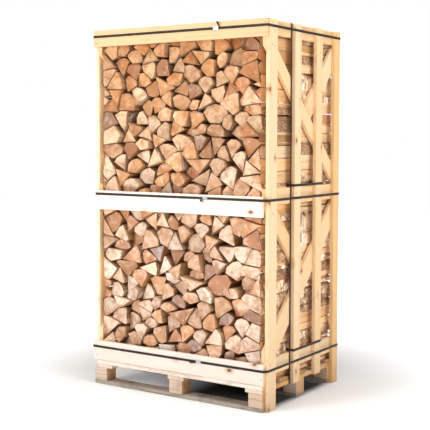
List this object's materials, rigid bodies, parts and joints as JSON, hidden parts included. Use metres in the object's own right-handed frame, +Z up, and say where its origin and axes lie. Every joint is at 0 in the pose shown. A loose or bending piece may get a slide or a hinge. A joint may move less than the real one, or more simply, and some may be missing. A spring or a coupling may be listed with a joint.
{
  "type": "birch firewood crate on a pallet",
  "caption": "Tall open pallet crate of stacked split birch firewood, held by slatted and braced side walls, boards across front and back, and plastic straps.",
  "frame": {"origin": "middle of the crate's footprint, on the floor", "axes": "+Z up; the front, where the log ends show between three boards, faces -Y; +X is to the right seen from the front"},
  "size_m": [1.215, 0.8657, 2.1215],
  "materials": {
    "birch_logs": "raw split birch, pale sawn ends, white papery bark",
    "crate_boards": "rough-sawn spruce, almost white",
    "wall_boards": "rough-sawn pine, warm yellow",
    "pallet_boards": "rough-sawn, slightly greyed",
    "pallet_blocks": "sawn block with end grain",
    "strap": "embossed polyester strap, satin",
    "strap_seal": "crimped galvanised sheet"
  },
  "bodies": {
    "root": {"back_board_bottom": "crate_boards", "back_board_middle": "crate_boards", "back_board_top": "crate_boards", "front_board_bottom": "crate_boards", "front_board_middle": "crate_boards", "front_board_top": "crate_boards", "left_batten_1": "wall_boards", "left_batten_2": "wall_boards", "left_batten_3": "wall_boards", "left_batten_4": "wall_boards", "left_brace_lower_long": "wall_boards", "left_brace_lower_short": "wall_boards", "left_brace_upper_long": "wall_boards", "left_brace_upper_short": "wall_boards", "left_rail_bottom": "wall_boards", "left_rail_middle": "wall_boards", "left_rail_top": "wall_boards", "logs_back_tier": "birch_logs", "logs_front_tier": "birch_logs", "pallet_block_back_centre": "pallet_blocks", "pallet_block_back_left": "pallet_blocks", "pallet_block_back_right": "pallet_blocks", "pallet_block_front_centre": "pallet_blocks", "pallet_block_front_left": "pallet_blocks", "pallet_block_front_right": "pallet_blocks", "pallet_block_middle_centre": "pallet_blocks", "pallet_block_middle_left": "pallet_blocks", "pallet_block_middle_right": "pallet_blocks", "pallet_cross_board_centre": "pallet_boards", "pallet_cross_board_left": "pallet_boards", "pallet_cross_board_right": "pallet_boards", "pallet_deck_board_1": "pallet_boards", "pallet_deck_board_2": "pallet_boards", "pallet_deck_board_3": "pallet_boards", "pallet_deck_board_4": "pallet_boards", "pallet_deck_board_5": "pallet_boards", "pallet_runner_back": "pallet_boards", "pallet_runner_front": "pallet_boards", "pallet_runner_middle": "pallet_boards", "right_batten_1": "wall_boards", "right_batten_2": "wall_boards", "right_batten_3": "wall_boards", "right_batten_4": "wall_boards", "right_brace_lower_long": "wall_boards", "right_brace_lower_short": "wall_boards", "right_brace_upper_long": "wall_boards", "right_brace_upper_short": "wall_boards", "right_rail_bottom": "wall_boards", "right_rail_middle": "wall_boards", "right_rail_top": "wall_boards", "strap_hoop_bottom": "strap", "strap_hoop_middle": "strap", "strap_hoop_top": "strap", "strap_seal_bottom": "strap_seal", "strap_seal_middle": "strap_seal", "strap_seal_top": "strap_seal", "strap_tie_bottom": "strap", "strap_tie_middle": "strap", "strap_upright": "strap"}
  },
  "joints": []
}
